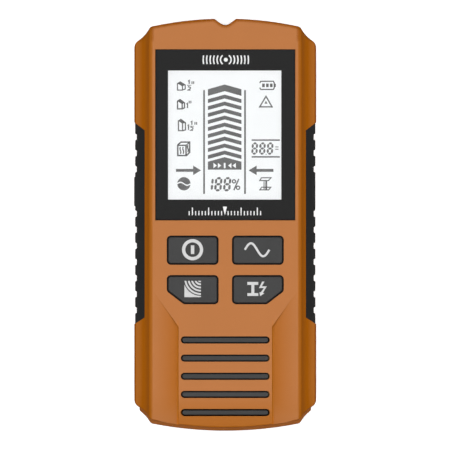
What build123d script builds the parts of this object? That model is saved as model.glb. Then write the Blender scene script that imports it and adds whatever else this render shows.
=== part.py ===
from build123d import *
import os
from math import hypot, radians, tan

# A hand-held wall scanner (stud finder) lying on its back. Millimetres, +Z out of the front face,
# +Y toward the marking notch, origin on the rest surface under the middle of the body.

# ---------------------------------------------------------------- driving dimensions
# heights, from the rest surface up
pad_top_z = 0.8
floor_top_z = 2.6
parting_z = 11.0
front_z = 27.5
key_top_z = 28.0
ceiling_z = 25.0
low_ceiling_z = 23.2
cavity_slope = ((30.9, 18.5), (27.2, 23.0), (26.6, ceiling_z))

# plan outlines: half width, crown corner x, cove radius, then (side corner, crown corner, apex) y
front_half_width = 34.2
front_plan = (front_half_width, 28.2, 12.7, (68.5, 74.5, 77.57), (-67.5, -73.1, -76.17))
front_cavity_plan = (30.9, 26.7, 15.0, (67.6, 72.4, 75.27), (-66.6, -71.0, -73.87))
rear_plan = (32.3, 28.1, 12.7, (69.2, 74.1, 77.17), (-69.9, -74.7, -77.5))
rear_cavity_plan = (30.3, 26.5, 15.0, (67.3, 72.1, 74.97), (-66.6, -71.0, -73.87))
tongue_plan = (30.7, 26.5, 15.2, (67.4, 72.2, 75.07), (-66.4, -70.8, -73.67))
tongue_bore_plan = (29.9, 25.9, 16.0, (66.8, 71.5, 74.3), (-65.8, -70.1, -72.9))
side_corner_r = 3.1
crown_corner_r = 1.75

# V marking notch in the crown
notch_apex_y = 74.53
notch_flank_deg = 36.0
notch_root_r = 2.8
notch_mouth_r = 0.6
notch_wall = 2.47

# front surface: plateau, bevel, cove, and the roll-off toward the lower end
plateau_half = 27.5
bevel_half = 28.6
bevel_z = 26.6
plateau_edge_r = 1.2
bevel_edge_r = 1.5
cove_r = 14.5
cove_end = (37.0, 19.88)
cove_centre = (41.2, 33.76)
roll_start_y = -58.0
roll_r = 42.6
roll_deg = 32.0
rim_r = 0.8

# raised lower panel and the two scoops beside it
panel_half = 17.55
panel_top_y = -38.2
scoop_half = 27.3
scoop_top_y = -24.5
scoop_depth = 1.3

# window and display
lens_half_x = 26.25
lens_low_y = 1.8
lens_high_y = 65.95
lens_thickness = 1.2
lens_gap = 0.1
lens_chamfer = 0.15
mask_thickness = 0.2
window_x = (-21.5, 21.05)
window_y = (9.56, 58.05)
display_hole_half_x = 23.2
display_hole_y = (7.6, 60.4)

# display stack under the window, from the polariser down to the board
polariser_z = (24.7, 24.9)
polariser_half_x = 22.6
polariser_y = (8.6, 59.4)
front_glass_low_z = 23.6
rear_glass_low_z = 22.5
glass_half_x = 23.3
glass_high_y = 61.4
front_glass_low_y = 4.9
rear_glass_low_y = 8.2
backlight_half_x = 23.0
backlight_y = (8.4, 61.0)
strip_half_x = 21.0
strip_y = (5.4, 7.6)
bracket_half_x = 24.8
bracket_y = (3.4, 62.8)
bracket_bore_half_x = 23.45
bracket_bore_y = (4.7, 61.6)
bracket_top_z = 24.8
bracket_peg_r = 0.5
bracket_peg_low_z = 17.6

# keys
key_column_x = 12.25
key_row_ys = (-9.46, -24.3)
key_width = 19.5
key_height = 11.0
key_corner_r = 1.65
key_cut_x = 6.4
key_cut_y = 4.9
key_gap = 0.6
key_flange = 0.9
key_flange_z = (23.7, 24.8)
key_travel = 0.5
key_edge_r = 0.4

# slot bars
bar_count = 5
bar_first_y = -43.2
bar_pitch = 6.82
slot_length = 33.4
slot_height = 2.72
bar_gap = 0.6
bar_drop = 0.15
bar_low_z = 20.6
pocket_half = 16.2
pocket_top_y = -32.5
web_side_gap = 0.2
web_y = (-72.4, -40.6)
web_thickness = 1.2
web_gap = 0.04

# side grips
grip_inner_x = 30.3
grip_top_y = (35.6, 38.75)
grip_low_y = (-34.8, -37.4)
grip_low_z = parting_z
grip_face_x = 33.9
grip_bed_x = 32.3
grip_sink = 0.25
grip_depth = 1.75
grip_edge_r = 0.9
grip_hidden_x = 29.0
grip_zone_x = (34.4, 36.0)
rib_pitch = 6.05
rib_groups = ((33.1, 3), (4.25, 7))
rib_groove_depth = 0.6
rib_groove_wide = 2.9
rib_groove_narrow = 1.9

# push button in the left grip
button_y = 12.6
button_z = 15.8
button_length = 11.2
button_height = 4.8
button_face_x = -34.3
button_gap = 0.2
button_end_r = 0.5
button_side_r = 0.4
button_flange_x = (-30.7, -29.9)
button_flange_step = 1.0
button_flange_rise = (0.5, 0.4)
button_stem_r = 1.2
button_stem_length = 2.7
side_switch_x = (-28.4, -24.6)
side_switch_half_y = 3.0
side_switch_low_z = 13.6
side_switch_bore_depth = 2.2

# boards
board_z = (18.4, 20.0)
board_half_x = 28.5
board_tail_half_x = 23.5
board_y = (-40.6, 63.6)
board_shoulder_y = -31.5
sensor_board_z = (4.2, 5.4)
bracket_peg_spots = ((-24.1, 10.0), (24.1, 10.0), (-24.1, 55.0), (24.1, 55.0))
link_y = 16.5
link_pin_r = 0.32
pin_clearance = 0.12
peg_clearance = 0.1
peg_overlap = 0.2
board_corner_r = 3.0
link_pin_spots = [(2.54 * (i - 3.5), link_y) for i in range(8)]
chip_centre = (0, -12.0)
amplifier_spots = ((-12.0, 38.0), (10.0, 38.0))

# switches under the keys and behind the side button
switch_top_z = 23.0
switch_bore_z = 21.3
switch_stem_r = 1.75
switch_width = 6.0
switch_clearance = 0.07
stem_clearance = 0.2

# screws
case_screw_spots = ((-24.5, 67.0), (24.5, 67.0), (-27.0, -37.0), (27.0, -37.0))
board_screw_spots = ((-26.9, 57.0), (26.9, 57.0), (-26.9, -1.5), (26.9, -1.5))
sensor_post_spots = ((-25.5, 16.0), (25.5, 16.0), (-25.5, 59.0), (25.5, 59.0))
case_screw_r = 1.15
case_head_r = 2.2
case_head_low_z = 1.8
case_tip_z = 16.0
board_screw_r = 0.95
board_head_r = 1.8
board_head_low_z = 17.2
board_tip_z = 23.0
case_boss_r = 2.8
case_boss_z = (9.1, 24.6)
case_boss_bore = 8.0
board_boss_r = 1.9
board_boss_height = 4.5
board_boss_bore = 3.4
thread_gap = 0.1
screw_clearance = 0.15
post_pin_rise = 0.4
head_chamfer = 0.25
tip_chamfer = 0.4
recess_depth = 0.6
sensor_post_r = 2.0
sensor_pin_r = 0.9
counterbore_r = 2.4
case_tower_r = 3.2
case_tower_top_z = 9.0

# battery bay
battery_x = (-26.0, 20.4)
battery_y = (-69.7, -43.2)
battery_z = (3.75, 21.25)
battery_corner_r = 2.0
battery_end_r = 0.5
bay_wall_y = (-42.9, -41.5)
bay_wall_half_x = 30.1
bay_notch = ((17.5, 26.5), (-50, -40), (9.5, 20))
door_half_x = 25.5
door_top_y = -42.3
door_gap = 0.2
door_plate_z = 2.7
door_cut_z = 2.8
door_tongue_z = 3.7
door_tongue_x = (24.0, 27.2)
door_tongue_gap = 0.15
door_tongue_setback = 0.8
door_way_half_x = 27.4
door_way_high_y = -69.0
rail_y = (-71.0, -42.0)
rail_foot_x = (27.45, 28.6)
rail_hook_x = (26.35, 28.0)
rail_top_z = 5.0
finger_rib_count = 5
finger_rib_half_x = 9.0
finger_rib_first_y = -70.2
finger_rib_pitch = 1.9
finger_rib_width = 0.9
finger_rib_z = (0.45, 1.0)

positive_y = -50.1
negative_y = -62.8
positive_stud_r = 2.85
negative_stud_r = 4.0
stud_height = 2.4
snap_x = (20.7, 24.4)
snap_y = (-67.6, -46.4)
snap_half_z = 6.3
snap_socket_gap = 0.15
snap_socket_depth = 2.3
connector_x = (15.8, 22.2)
connector_y = (-36.0, -31.8)
connector_low_z = 13.6
foam_half_x = 14.0
foam_y = (-64.0, -46.0)
foam_top_z = 23.0
lead_r = 0.6
lead_bend_r = 3.8
lead_spacing = 1.6
lead_exit_drop = 0.3
lead_exit_run = 3.0
lead_entry_run = 2.8
lead_snap_x = 22.6
lead_board_x = 19.0
lead_board_z = 16.0

# rear shell details
back_edge_r = 1.6
lip_r = 0.8
tongue_z = (9.6, 12.6)
tongue_break_half = 8.0
bay_wall_top_z = 17.0
screw_seat_z = 3.2

# glide pads: middles and sizes of the upper and lower pairs
upper_pads = ((12.0, 69.4), (16.0, 5.0))
lower_pads = ((28.2, -55.0), (3.2, 24.0))
pad_corner_r = 1.5

# tools that cut right through the body reach past it
reach = 90.0
beyond_x = 40.0
beyond_z = 50.0
blank_top_z = 40.0


# ---------------------------------------------------------------- shared shapes
def span(low, high):
    """Middle and length of a stretch."""
    return (low + high) / 2, high - low


def block(x, y, z):
    """A box between two corners, each axis given as (low, high)."""
    (cx, lx), (cy, ly), (cz, lz) = span(*x), span(*y), span(*z)
    with BuildPart(Plane.XY.offset(cz)) as solid:
        with Locations((cx, cy)):
            Box(lx, ly, lz)
    return solid.part


def across(half):
    """Stretch with its middle at zero."""
    return -half, half


def shell_plan(half_width, corner_x, cove, upper, lower, side_r=side_corner_r, crown_r=crown_corner_r):
    """Plan outline: straight sides, coved corners and crowned ends."""
    with BuildSketch() as plan:
        with BuildLine():
            for side_y, corner_y, apex_y in (upper, lower):
                bend = cove if apex_y > 0 else -cove
                RadiusArc((half_width, side_y), (corner_x, corner_y), bend)
                ThreePointArc((corner_x, corner_y), (0, apex_y), (-corner_x, corner_y))
                RadiusArc((-corner_x, corner_y), (-half_width, side_y), bend)
            Line((half_width, upper[0]), (half_width, lower[0]))
            Line((-half_width, upper[0]), (-half_width, lower[0]))
        make_face()
        fillet(plan.vertices().filter_by(lambda v: abs(abs(v.X) - half_width) < 0.01), side_r)
        fillet(plan.vertices().filter_by(lambda v: abs(abs(v.X) - corner_x) < 0.01), crown_r)
    return plan.sketch


def notch_plan(apex_y, root_r):
    """V cut in the crown, rounded at its root."""
    rise = 4.0
    half = rise / tan(radians(notch_flank_deg))
    with BuildSketch() as vee:
        with BuildLine():
            Polyline((-half, apex_y + rise), (0, apex_y), (half, apex_y + rise), close=True)
        make_face()
        fillet(vee.vertices().sort_by(Axis.Y)[0], root_r)
    return vee.sketch


def crown_body(plan_values, top_z, side_r=side_corner_r):
    """Solid over a shell's plan outline, with the marking notch cut and its mouth eased."""
    with BuildPart() as body:
        add(shell_plan(*plan_values, side_r=side_r))
        extrude(amount=top_z)
        add(notch_plan(notch_apex_y, notch_root_r))
        extrude(amount=top_z, mode=Mode.SUBTRACT)
        mouth = body.edges().filter_by(Axis.Z).group_by(Axis.Y)[-1]
        fillet(mouth, notch_mouth_r)
    return body.part


def cavity_body(plan_values, top_z, side_r=1.5):
    """Solid that hollows a shell, set back behind the marking notch."""
    with BuildPart() as body:
        add(shell_plan(*plan_values, side_r=side_r, crown_r=1.0))
        extrude(amount=top_z)
        add(notch_plan(notch_apex_y - notch_wall, notch_root_r + 2.0))
        extrude(amount=top_z, mode=Mode.SUBTRACT)
    return body.part


def roll_path():
    """Line down the front face, straight and then curving over toward the lower end."""
    with BuildLine(Plane.YZ) as path:
        run = Line((reach, front_z), (roll_start_y, front_z))
        JernArc(run @ 1, run % 1, roll_r, roll_deg)
    return path.line


def swept(section):
    """Sweep a section drawn at the top end down the front face and over its roll-off."""
    with BuildPart() as run:
        add(section)
        sweep(path=roll_path())
    return run.part


section_plane = Plane.XZ.offset(-reach)


def sky():
    """Everything above the front surface."""
    with BuildSketch(section_plane) as over:
        with BuildLine():
            Polyline((0, front_z), (plateau_half, front_z), (bevel_half, bevel_z))
            RadiusArc((bevel_half, bevel_z), cove_end, -cove_r)
            Polyline(cove_end, (beyond_x, cove_end[1]), (beyond_x, beyond_z), (0, beyond_z), (0, front_z))
        make_face()
        plateau_corner = over.vertices().sort_by_distance(Vertex(plateau_half, front_z, 0))[0]
        fillet(plateau_corner, plateau_edge_r)
        bevel_corner = over.vertices().sort_by_distance(Vertex(bevel_half, bevel_z, 0))[0]
        fillet(bevel_corner, bevel_edge_r)
        mirror(about=Plane.YZ)
    return swept(over.sketch)


def scoop():
    """Right-hand scoop: level with the face on its outside, falling away toward the raised panel."""
    low_z = front_z - scoop_depth
    width = scoop_half - panel_half
    level_r = (width**2 + scoop_depth**2) / (2 * scoop_depth)
    with BuildSketch(section_plane) as dish:
        with BuildLine():
            RadiusArc((panel_half, low_z), (scoop_half, front_z), level_r)
            Polyline(
                (scoop_half, front_z),
                (scoop_half, blank_top_z),
                (panel_half, blank_top_z),
                (panel_half, low_z),
            )
        make_face()
    with BuildPart() as cut:
        add(swept(dish.sketch))
        with BuildSketch() as zone:
            with BuildLine():
                Polyline(
                    (panel_half, -reach),
                    (panel_half, panel_top_y),
                    (scoop_half, scoop_top_y),
                    (scoop_half, -reach),
                    close=True,
                )
            make_face()
        extrude(amount=reach, mode=Mode.INTERSECT)
    return cut.part


def key_plan(side, row, grow):
    """Key outline; the lower row loses its outer lower corner. grow is an offset outward."""
    outer = side * (key_column_x + key_width / 2)
    inner = side * (key_column_x - key_width / 2)
    top = key_row_ys[row] + key_height / 2
    low = key_row_ys[row] - key_height / 2
    corners = [(outer, top), (inner, top), (inner, low)]
    if row == 1:
        corners += [(outer - side * key_cut_x, low), (outer, low + key_cut_y)]
    else:
        corners += [(outer, low)]
    with BuildSketch() as plan:
        with BuildLine():
            Polyline(*corners, close=True)
        make_face()
        fillet(plan.vertices(), key_corner_r)
        offset(amount=grow)
    return plan.sketch


def bar_plans(shrink):
    """The slots of the lower panel, or the bars in them when shrunk."""
    spots = [(0, bar_first_y - i * bar_pitch) for i in range(bar_count)]
    with BuildSketch() as plan:
        with Locations(*spots):
            SlotOverall(slot_length - 2 * shrink, slot_height - 2 * shrink)
    return plan.sketch


def cove_point(x, sink):
    """Point at x on the cove arc, sunk below the surface."""
    radius = cove_r + sink
    return x, cove_centre[1] - (radius**2 - (cove_centre[0] - x) ** 2) ** 0.5


def grip_zone():
    """Plan outline of the right-hand grip, with oblique ends."""
    corner_x, far_x = grip_zone_x
    slope_top = (grip_top_y[1] - grip_top_y[0]) / (corner_x - grip_inner_x)
    slope_low = (grip_low_y[1] - grip_low_y[0]) / (corner_x - grip_inner_x)
    run = far_x - grip_inner_x
    with BuildSketch() as zone:
        with BuildLine():
            Polyline(
                (grip_inner_x, grip_low_y[0]),
                (grip_inner_x, grip_top_y[0]),
                (far_x, grip_top_y[0] + slope_top * run),
                (far_x, grip_low_y[0] + slope_low * run),
                close=True,
            )
        make_face()
    return zone.sketch


def grip_bed():
    """Recess for the right-hand grip."""
    bed_corner = cove_point(grip_bed_x, grip_depth)
    bed_end = cove_point(grip_hidden_x, grip_depth)
    with BuildPart() as bed:
        with BuildSketch(Plane.XZ) as section:
            with BuildLine():
                Polyline((grip_bed_x, grip_low_z), bed_corner)
                RadiusArc(bed_corner, bed_end, cove_r + grip_depth)
                Polyline(
                    bed_end,
                    (grip_hidden_x, blank_top_z),
                    (beyond_x, blank_top_z),
                    (beyond_x, grip_low_z),
                    (grip_bed_x, grip_low_z),
                )
            make_face()
        extrude(amount=reach, both=True)
        add(grip_zone())
        extrude(amount=reach, mode=Mode.INTERSECT)
    return bed.part


def grip_pad():
    """Right-hand rubber grip: a skin over the cove and the side, with ribs across its face."""
    bed_corner = cove_point(grip_bed_x, grip_depth)
    bed_end = cove_point(grip_hidden_x, grip_depth)
    face_corner = cove_point(grip_face_x, grip_sink)
    face_end = cove_point(grip_hidden_x, grip_sink)
    with BuildPart() as pad:
        with BuildSketch(Plane.XZ) as section:
            with BuildLine():
                Polyline((grip_face_x, grip_low_z), (grip_bed_x, grip_low_z), bed_corner)
                RadiusArc(bed_corner, bed_end, cove_r + grip_depth)
                Line(bed_end, face_end)
                RadiusArc(face_end, face_corner, -(cove_r + grip_sink))
                Line(face_corner, (grip_face_x, grip_low_z))
            make_face()
            edge = section.vertices().sort_by_distance(Vertex(*face_corner, 0))[0]
            fillet(edge, grip_edge_r)
        extrude(amount=reach, both=True)
        add(grip_zone())
        extrude(amount=reach, mode=Mode.INTERSECT)
        root_x = grip_face_x - rib_groove_depth
        mouth_x = grip_face_x + 0.2
        with BuildSketch():
            for first_y, count in rib_groups:
                for i in range(count):
                    y = first_y - i * rib_pitch
                    with BuildLine():
                        Polyline(
                            (root_x, y - rib_groove_narrow / 2),
                            (mouth_x, y - rib_groove_wide / 2),
                            (mouth_x, y + rib_groove_wide / 2),
                            (root_x, y + rib_groove_narrow / 2),
                            close=True,
                        )
                    make_face()
        extrude(amount=blank_top_z, mode=Mode.SUBTRACT)
    return pad.part


button_hole = block(
    (-beyond_x, -30),
    (button_y - button_length / 2 - button_gap, button_y + button_length / 2 + button_gap),
    (button_z - button_height / 2 - button_gap, button_z + button_height / 2 + button_gap),
)
above_front = sky()


# ---------------------------------------------------------------- front shell
def upright_rim(part):
    """Edges where the front surface meets the upright outer walls."""
    rim = ShapeList()
    for face in part.faces():
        if abs(face.normal_at(face.center()).Z) < 0.01:
            for edge in face.edges():
                start, end = edge @ 0, edge @ 1
                if hypot(start.X - end.X, start.Y - end.Y) > 0.01 and edge.center().Z > parting_z:
                    rim.append(edge)
    return rim


with BuildPart() as low_roof:
    with BuildSketch(section_plane):
        with BuildLine():
            Polyline(
                (0, ceiling_z),
                (pocket_half, ceiling_z),
                (pocket_half, low_ceiling_z),
                (beyond_x, low_ceiling_z),
                (beyond_x, beyond_z),
                (0, beyond_z),
                close=True,
            )
        make_face()
        mirror(about=Plane.YZ)
    sweep(path=roll_path())
    add(block(across(reach), (-2 * reach, pocket_top_y), (0, reach)), mode=Mode.INTERSECT)

with BuildPart() as front_cavity:
    add(cavity_body(front_cavity_plan, ceiling_z))
    with BuildSketch(Plane.XZ):
        with BuildLine():
            side_x = front_cavity_plan[0]
            Polyline((0, 0), (side_x, 0), *cavity_slope, (0, ceiling_z), (0, 0))
        make_face()
        mirror(about=Plane.YZ)
    extrude(amount=reach, both=True, mode=Mode.INTERSECT)
    add(low_roof.part, mode=Mode.SUBTRACT)

with BuildPart() as front_shell:
    add(crown_body(front_plan, blank_top_z))
    add(above_front, mode=Mode.SUBTRACT)
    fillet(upright_rim(front_shell.part), rim_r)
    add(scoop(), mode=Mode.SUBTRACT)
    add(scoop().mirror(Plane.YZ), mode=Mode.SUBTRACT)
    split(bisect_by=Plane.XY.offset(parting_z))
    add(front_cavity.part, mode=Mode.SUBTRACT)
    # lens recess and the window under it
    recess_y = (lens_low_y - lens_gap, lens_high_y + lens_gap)
    recess_z = (front_z - lens_thickness - mask_thickness, blank_top_z)
    add(block(across(lens_half_x + lens_gap), recess_y, recess_z), mode=Mode.SUBTRACT)
    hole_z = (board_z[1], blank_top_z)
    add(block(across(display_hole_half_x), display_hole_y, hole_z), mode=Mode.SUBTRACT)
    # key openings and bar slots
    for side in (-1, 1):
        for row in (0, 1):
            with BuildSketch(Plane.XY.offset(board_z[1])):
                add(key_plan(side, row, 0))
            extrude(amount=blank_top_z, mode=Mode.SUBTRACT)
    with BuildSketch(Plane.XY.offset(parting_z)):
        add(bar_plans(0))
    extrude(amount=blank_top_z, mode=Mode.SUBTRACT)
    # beds of the grips and the hole for the side button
    add(grip_bed(), mode=Mode.SUBTRACT)
    add(grip_bed().mirror(Plane.YZ), mode=Mode.SUBTRACT)
    add(button_hole, mode=Mode.SUBTRACT)
    # screw bosses hang from the roof
    with BuildSketch(Plane.XY.offset(case_boss_z[0])):
        with Locations(*case_screw_spots):
            Circle(case_boss_r)
    extrude(amount=case_boss_z[1] - case_boss_z[0])
    with BuildSketch(Plane.XY.offset(board_z[1])):
        with Locations(*board_screw_spots):
            Circle(board_boss_r)
    extrude(amount=board_boss_height)
    with BuildSketch(Plane.XY.offset(case_boss_z[0])):
        with Locations(*case_screw_spots):
            Circle(case_screw_r + thread_gap)
    extrude(amount=case_boss_bore, mode=Mode.SUBTRACT)
    with BuildSketch(Plane.XY.offset(board_z[1])):
        with Locations(*board_screw_spots):
            Circle(board_screw_r + thread_gap)
    extrude(amount=board_boss_bore, mode=Mode.SUBTRACT)

with BuildPart() as grip_right:
    add(grip_pad())

with BuildPart() as grip_left:
    add(grip_pad().mirror(Plane.YZ))
    add(button_hole, mode=Mode.SUBTRACT)

with BuildPart() as bar_web:
    with BuildSketch(section_plane):
        with Locations((0, ceiling_z - web_gap - web_thickness / 2)):
            Rectangle(2 * (pocket_half - web_side_gap), web_thickness)
    sweep(path=roll_path())
    add(block(across(beyond_x), web_y, (0, reach)), mode=Mode.INTERSECT)

with BuildPart() as grip_bars:
    with BuildSketch():
        add(bar_plans(bar_gap))
    extrude(amount=blank_top_z)
    add(above_front.moved(Location((0, 0, -bar_drop))), mode=Mode.SUBTRACT)
    add(block(across(beyond_x), (-reach, 0), (0, bar_low_z)), mode=Mode.SUBTRACT)
    add(low_roof.part.moved(Location((0, 0, -web_thickness))), mode=Mode.INTERSECT)
    add(bar_web.part)


# ---------------------------------------------------------------- window and display
lens_y = (lens_low_y, lens_high_y)
with BuildPart() as display_lens:
    add(block(across(lens_half_x), lens_y, (front_z - lens_thickness, front_z)))
    chamfer(display_lens.faces().sort_by(Axis.Z)[-1].edges(), lens_chamfer)

mask_z = (front_z - lens_thickness - mask_thickness, front_z - lens_thickness)
with BuildPart() as lens_mask:
    add(block(across(lens_half_x), lens_y, mask_z))
    add(block(window_x, window_y, mask_z), mode=Mode.SUBTRACT)

with BuildPart() as lcd_polariser:
    add(block(across(polariser_half_x), polariser_y, polariser_z))

with BuildPart() as lcd_front_glass:
    add(block(across(glass_half_x), (front_glass_low_y, glass_high_y), (front_glass_low_z, polariser_z[0])))

with BuildPart() as lcd_rear_glass:
    add(block(across(glass_half_x), (rear_glass_low_y, glass_high_y), (rear_glass_low_z, front_glass_low_z)))

with BuildPart() as lcd_backlight:
    add(block(across(backlight_half_x), backlight_y, (board_z[1], rear_glass_low_z)))
    fillet(lcd_backlight.edges().filter_by(Axis.Z), 1.0)

with BuildPart() as elastomer_strip:
    add(block(across(strip_half_x), strip_y, (board_z[1], front_glass_low_z)))

with BuildPart() as lcd_bracket:
    add(block(across(bracket_half_x), bracket_y, (board_z[1], bracket_top_z)))
    fillet(lcd_bracket.edges().filter_by(Axis.Z), 1.2)
    add(block(across(bracket_bore_half_x), bracket_bore_y, (0, beyond_z)), mode=Mode.SUBTRACT)
    with BuildSketch(Plane.XY.offset(bracket_peg_low_z)):
        with Locations(*bracket_peg_spots):
            Circle(bracket_peg_r)
    extrude(amount=board_z[1] + peg_overlap - bracket_peg_low_z)


# ---------------------------------------------------------------- boards
with BuildPart() as main_board:
    with BuildSketch(Plane.XY.offset(board_z[0])) as board_plan:
        with BuildLine():
            Polyline(
                (board_half_x, board_shoulder_y),
                (board_half_x, board_y[1]),
                (-board_half_x, board_y[1]),
                (-board_half_x, board_shoulder_y),
                (-board_tail_half_x, board_shoulder_y),
                (-board_tail_half_x, board_y[0]),
                (board_tail_half_x, board_y[0]),
                (board_tail_half_x, board_shoulder_y),
                close=True,
            )
        make_face()
        fillet(board_plan.vertices().group_by(Axis.Y)[-1], board_corner_r)
        with Locations(*board_screw_spots):
            Circle(board_screw_r + screw_clearance, mode=Mode.SUBTRACT)
        with Locations(*bracket_peg_spots):
            Circle(bracket_peg_r + peg_clearance, mode=Mode.SUBTRACT)
        with Locations(*link_pin_spots):
            Circle(link_pin_r + pin_clearance, mode=Mode.SUBTRACT)
    extrude(amount=board_z[1] - board_z[0])

sensor_board_size = (56.0, 49.5)
sensor_board_centre = (0, 37.75)
coil_centre = (0, 38.0)
with BuildPart() as sensor_board:
    with BuildSketch(Plane.XY.offset(sensor_board_z[0])):
        with Locations(sensor_board_centre):
            RectangleRounded(*sensor_board_size, board_corner_r)
        with Locations(*sensor_post_spots):
            Circle(sensor_pin_r + peg_clearance, mode=Mode.SUBTRACT)
    extrude(amount=sensor_board_z[1] - sensor_board_z[0])

plate_thickness = 0.1
plate_size = (14.0, 34.0)
with BuildPart() as sensor_plates:
    with BuildSketch(Plane.XY.offset(sensor_board_z[0] - plate_thickness)):
        with Locations(coil_centre):
            with GridLocations(plate_size[0] + 2.0, 0, 3, 1):
                RectangleRounded(*plate_size, 1.0)
    extrude(amount=plate_thickness)

# the coil: a flanged bobbin on the sensor board, with its winding between the flanges
bobbin_height = 5.0
bobbin_flange = 1.0
bobbin_flange_r = 14.0
bobbin_core_r = 8.5
bobbin_bore_r = 5.0
winding_r = 13.0
with BuildPart(Plane.XY.offset(sensor_board_z[1])) as coil_bobbin:
    base = (Align.CENTER, Align.CENTER, Align.MIN)
    with Locations((*coil_centre, 0), (*coil_centre, bobbin_height - bobbin_flange)):
        Cylinder(bobbin_flange_r, bobbin_flange, align=base)
    with Locations((*coil_centre, 0)):
        Cylinder(bobbin_core_r, bobbin_height, align=base)
        Cylinder(bobbin_bore_r, bobbin_height, align=base, mode=Mode.SUBTRACT)

with BuildPart(Plane.XY.offset(sensor_board_z[1] + bobbin_flange)) as coil_winding:
    with Locations((*coil_centre, 0)):
        Cylinder(winding_r, bobbin_height - 2 * bobbin_flange, align=base)
        Cylinder(bobbin_core_r, bobbin_height - 2 * bobbin_flange, align=base, mode=Mode.SUBTRACT)
    fillet(coil_winding.edges().filter_by(GeomType.CIRCLE).group_by(SortBy.RADIUS)[-1], 0.6)

# pins that join the two boards, in a header on the sensor board
header_size = (20.8, 2.54)
header_top_z = 7.9
pin_length = 11.9
with BuildPart() as link_header:
    with BuildSketch(Plane.XY.offset(sensor_board_z[1])):
        with Locations((0, link_y)):
            Rectangle(*header_size)
    extrude(amount=header_top_z - sensor_board_z[1])
    chamfer(link_header.edges().filter_by(Axis.Z), 0.4)

with BuildPart() as link_pins:
    with BuildSketch(Plane.XY.offset(header_top_z)):
        with Locations(*link_pin_spots):
            Circle(link_pin_r)
    extrude(amount=pin_length)

# chips hang under the main board: a body, leads that come out of it, and feet that touch the board
chip_height = 1.5
chip_standoff = 0.2
chip_body = 10.0
chip_leads = 8
chip_pitch = 1.0
chip_span = 12.4
chip_lead_z = 0.8
lead_width = 0.4
lead_thickness = 0.3
foot_length = 0.6
with BuildPart() as controller_chip:
    with BuildSketch(Plane.XY.offset(board_z[0] - chip_height)):
        with Locations(chip_centre):
            Rectangle(chip_body, chip_body)
    extrude(amount=chip_height - chip_standoff)
    with BuildSketch(Plane.XY.offset(board_z[0] - chip_lead_z)):
        with Locations(chip_centre):
            with GridLocations(0, chip_pitch, 1, chip_leads):
                Rectangle(chip_span, lead_width)
            with GridLocations(chip_pitch, 0, chip_leads, 1):
                Rectangle(lead_width, chip_span)
    extrude(amount=lead_thickness)
    with BuildSketch(Plane.XY.offset(board_z[0] - foot_length)):
        with Locations(chip_centre):
            with GridLocations(chip_span - foot_length, chip_pitch, 2, chip_leads):
                Rectangle(foot_length, lead_width)
            with GridLocations(chip_pitch, chip_span - foot_length, chip_leads, 2):
                Rectangle(lead_width, foot_length)
    extrude(amount=foot_length)

amplifier_body = (4.0, 5.0)
amplifier_span = 6.0
amplifier_pitch = 1.27
amplifier_leads = 4
amplifier_foot = 0.5
with BuildPart() as amplifier_chips:
    with BuildSketch(Plane.XY.offset(board_z[0] - chip_height)):
        with Locations(*amplifier_spots):
            Rectangle(*amplifier_body)
    extrude(amount=chip_height - chip_standoff)
    with BuildSketch(Plane.XY.offset(board_z[0] - foot_length)):
        with Locations(*amplifier_spots):
            with GridLocations(0, amplifier_pitch, 1, amplifier_leads):
                Rectangle(amplifier_span, lead_width)
    extrude(amount=lead_thickness)
    with BuildSketch(Plane.XY.offset(board_z[0] - amplifier_foot)):
        with Locations(*amplifier_spots):
            with GridLocations(amplifier_span - foot_length, amplifier_pitch, 2, amplifier_leads):
                Rectangle(foot_length, lead_width)
    extrude(amount=amplifier_foot)

capacitor_spots = ((12.0, -30.0), (-18.0, 38.0), (19.0, 30.0))
capacitor_r = 2.5
capacitor_height = 6.0
with BuildPart() as capacitors:
    with BuildSketch(Plane.XY.offset(board_z[0] - capacitor_height)):
        with Locations(*capacitor_spots):
            Circle(capacitor_r)
    extrude(amount=capacitor_height)
    fillet(capacitors.edges().group_by(Axis.Z)[0], 0.5)

crystal_x = (12.0, 22.0)
crystal_y = (-9.0, -5.0)
crystal_height = 3.4
with BuildPart() as crystal:
    add(block(crystal_x, crystal_y, (board_z[0] - crystal_height, board_z[0])))
    fillet(crystal.edges().filter_by(Axis.Z), 1.9)
    fillet(crystal.faces().sort_by(Axis.Z)[0].edges(), 0.4)

buzzer_spot = (-14.0, -31.0)
buzzer_r = 6.0
buzzer_height = 5.5
sound_hole_r = 1.2
sound_hole_depth = 1.0
with BuildPart() as buzzer:
    with BuildSketch(Plane.XY.offset(board_z[0] - buzzer_height)):
        with Locations(buzzer_spot):
            Circle(buzzer_r)
    extrude(amount=buzzer_height)
    fillet(buzzer.edges().group_by(Axis.Z)[0], 0.5)
    with BuildSketch(Plane.XY.offset(board_z[0] - buzzer_height)):
        with Locations(buzzer_spot):
            Circle(sound_hole_r)
    extrude(amount=sound_hole_depth, mode=Mode.SUBTRACT)


# ---------------------------------------------------------------- keys and their switches
def key_cap(side, row):
    """Key cap with a flange that stays under the front shell."""
    with BuildPart() as cap:
        with BuildSketch(Plane.XY.offset(key_flange_z[1])):
            add(key_plan(side, row, -key_gap))
        extrude(amount=key_top_z - key_flange_z[1])
        fillet(cap.faces().sort_by(Axis.Z)[-1].edges(), key_edge_r)
        with BuildSketch(Plane.XY.offset(key_flange_z[0])):
            add(key_plan(side, row, key_flange))
        extrude(amount=key_flange_z[1] - key_flange_z[0])
    return cap


def key_stem(side, row):
    """Plunger between a key and the bore of its switch."""
    tip_z = switch_bore_z + key_travel + stem_clearance
    with BuildPart() as stem:
        with BuildSketch(Plane.XY.offset(tip_z)):
            with Locations((side * key_column_x, key_row_ys[row])):
                Circle(switch_stem_r)
        extrude(amount=key_flange_z[0] - tip_z)
    return stem


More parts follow.
